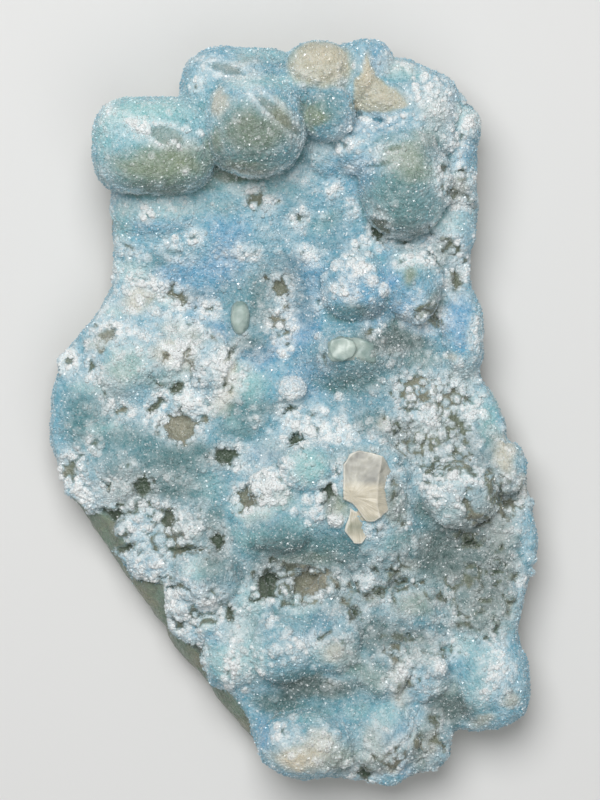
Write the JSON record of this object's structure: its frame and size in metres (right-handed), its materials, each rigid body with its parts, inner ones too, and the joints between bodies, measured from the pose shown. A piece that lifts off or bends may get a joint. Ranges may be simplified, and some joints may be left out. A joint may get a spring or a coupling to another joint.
{
  "type": "hemimorphite mineral specimen",
  "caption": "Broken plate of grey-green rock under a blue sugary botryoidal crust with rounded nodules, small windows and pale crystals; lies on its back for display.",
  "frame": {"origin": "centre of the footprint, on the back on which the specimen lies", "axes": "+Y along the long side, towards the big nodules; +Z out of the crusted face; +X to the right, seen from above"},
  "size_m": [0.0432, 0.066, 0.0157],
  "materials": {
    "blue_druse": "sugary, sparkling blue to teal crust, white on its lobes, over grey-green waxy rock",
    "cream_crystal": "silky, faintly fibrous cream crystal",
    "pale_crystal": "satin, slightly translucent pale green crystal"
  },
  "bodies": {
    "root": {"druse_plate": "blue_druse", "cream_bladed_crystal": "cream_crystal", "pale_tabular_crystal": "pale_crystal", "pale_oval_crystal": "pale_crystal"}
  },
  "joints": []
}
